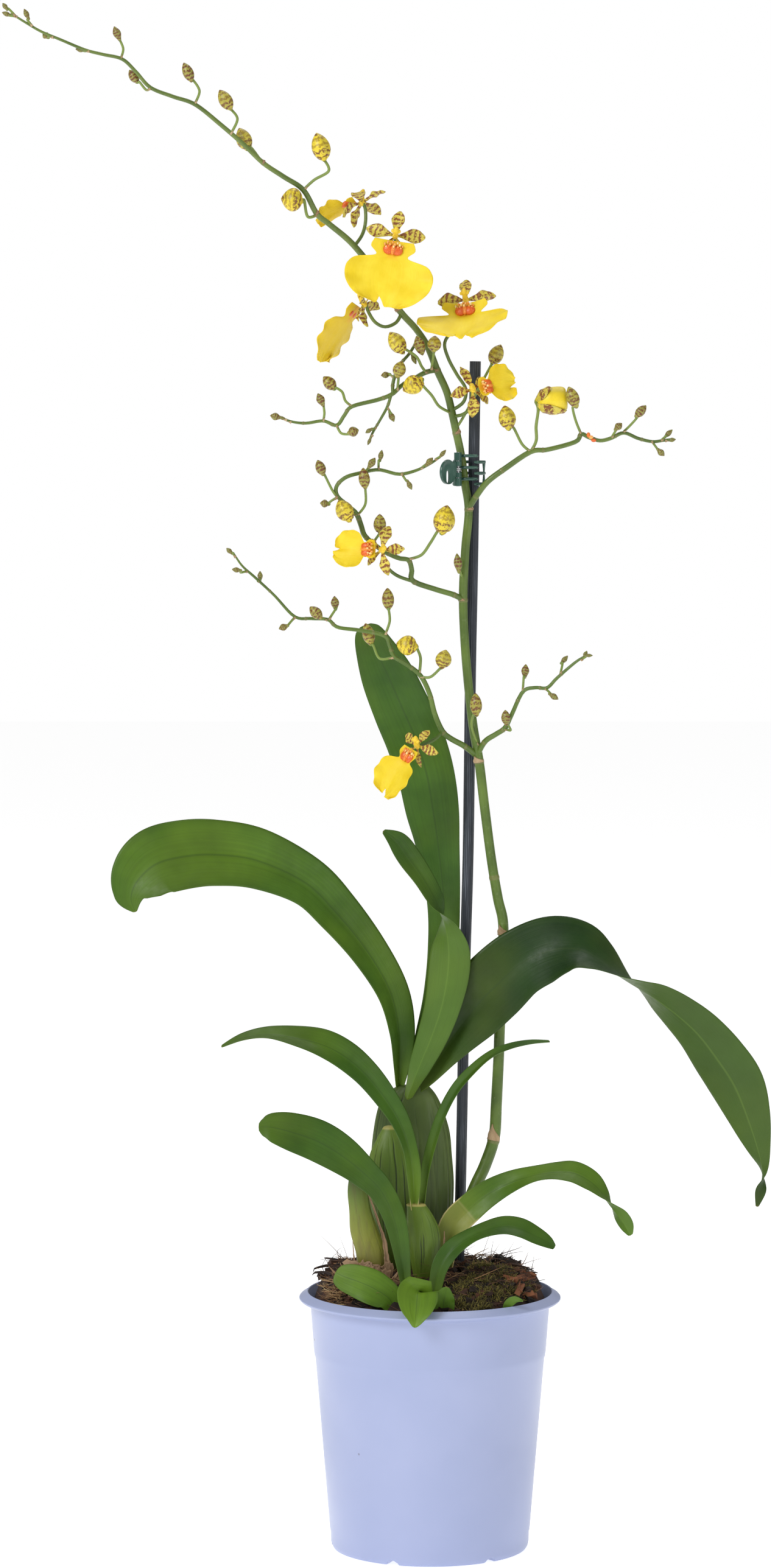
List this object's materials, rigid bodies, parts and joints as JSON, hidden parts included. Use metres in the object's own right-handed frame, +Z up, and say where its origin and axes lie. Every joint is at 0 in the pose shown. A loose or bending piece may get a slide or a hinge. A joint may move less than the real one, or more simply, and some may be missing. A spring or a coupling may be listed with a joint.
{
  "type": "potted oncidium orchid",
  "caption": "Potted oncidium orchid: pseudobulbs and arching strap leaves, with a tall branching stem of buds and yellow blooms clipped to a rod.",
  "frame": {"origin": "on the pot's axis, at the surface that the pot stands on", "axes": "+Z up the plant, +X to the right of a viewer at its front, +Y away from that viewer"},
  "size_m": [0.3464, 0.1251, 0.7041],
  "materials": {
    "pot_plastic": "satin lavender blue, injection moulded",
    "bark_and_moss": "damp bark chips, roots and dry moss fibres",
    "rod": "lightly glossed, ribbed lengthwise",
    "clip_plastic": "glossy dark green",
    "clip_steel": "bright wire",
    "pseudobulb": "satin olive green with darker grooves",
    "dry_sheath": "papery, yellow-green to brown",
    "leaf": "satin, with a keeled midrib and fine veins",
    "stem": "satin green stems, yellow buds barred with brown",
    "petal": "soft, yellow barred with red-brown",
    "lip": "soft, bright yellow with an orange crest"
  },
  "bodies": {
    "plant": {"pot": "pot_plastic", "growing_medium": "bark_and_moss", "stake": "rod", "clip_back_jaw": "clip_plastic", "clip_pin": "clip_steel", "clip_spring": "clip_steel", "pseudobulb_back": "pseudobulb", "pseudobulb_left": "pseudobulb", "pseudobulb_front": "pseudobulb", "sheath_left": "dry_sheath", "leaf_arching_left": "leaf", "leaf_upright_back": "leaf", "leaf_upright_front": "leaf", "leaf_arching_right": "leaf", "leaf_mid_left": "leaf", "leaf_thin_right": "leaf", "leaf_low_left": "leaf", "leaf_sheathed_right": "leaf", "leaf_low_right": "leaf", "leaf_front_left": "leaf", "leaf_front_tip": "leaf", "leaf_young": "leaf", "flower_stem": "stem", "spray_top_left": "stem", "spray_top_right": "stem", "spray_mid_left": "stem", "spray_low_left": "stem", "spray_low_right": "stem", "bloom_1_petals": "petal", "bloom_1_lip": "lip", "bloom_2_petals": "petal", "bloom_2_lip": "lip", "bloom_3_petals": "petal", "bloom_3_lip": "lip", "bloom_4_petals": "petal", "bloom_4_lip": "lip", "bloom_5_petals": "petal", "bloom_5_lip": "lip", "bloom_6_petals": "petal", "bloom_6_lip": "lip", "bloom_7_petals": "petal", "bloom_7_lip": "lip"},
    "clip_front": {"clip_front_jaw": "clip_plastic"}
  },
  "joints": [
    {"name": "clip_hinge", "type": "hinge", "parent": "plant", "child": "clip_front", "pos_m": [0.0125, 0.0025, 0.4955], "axis": [0, 0, -1], "range_deg": [0, 20], "stiffness_Nm_per_rad": 0.02, "springref_deg": -17.19}
  ]
}
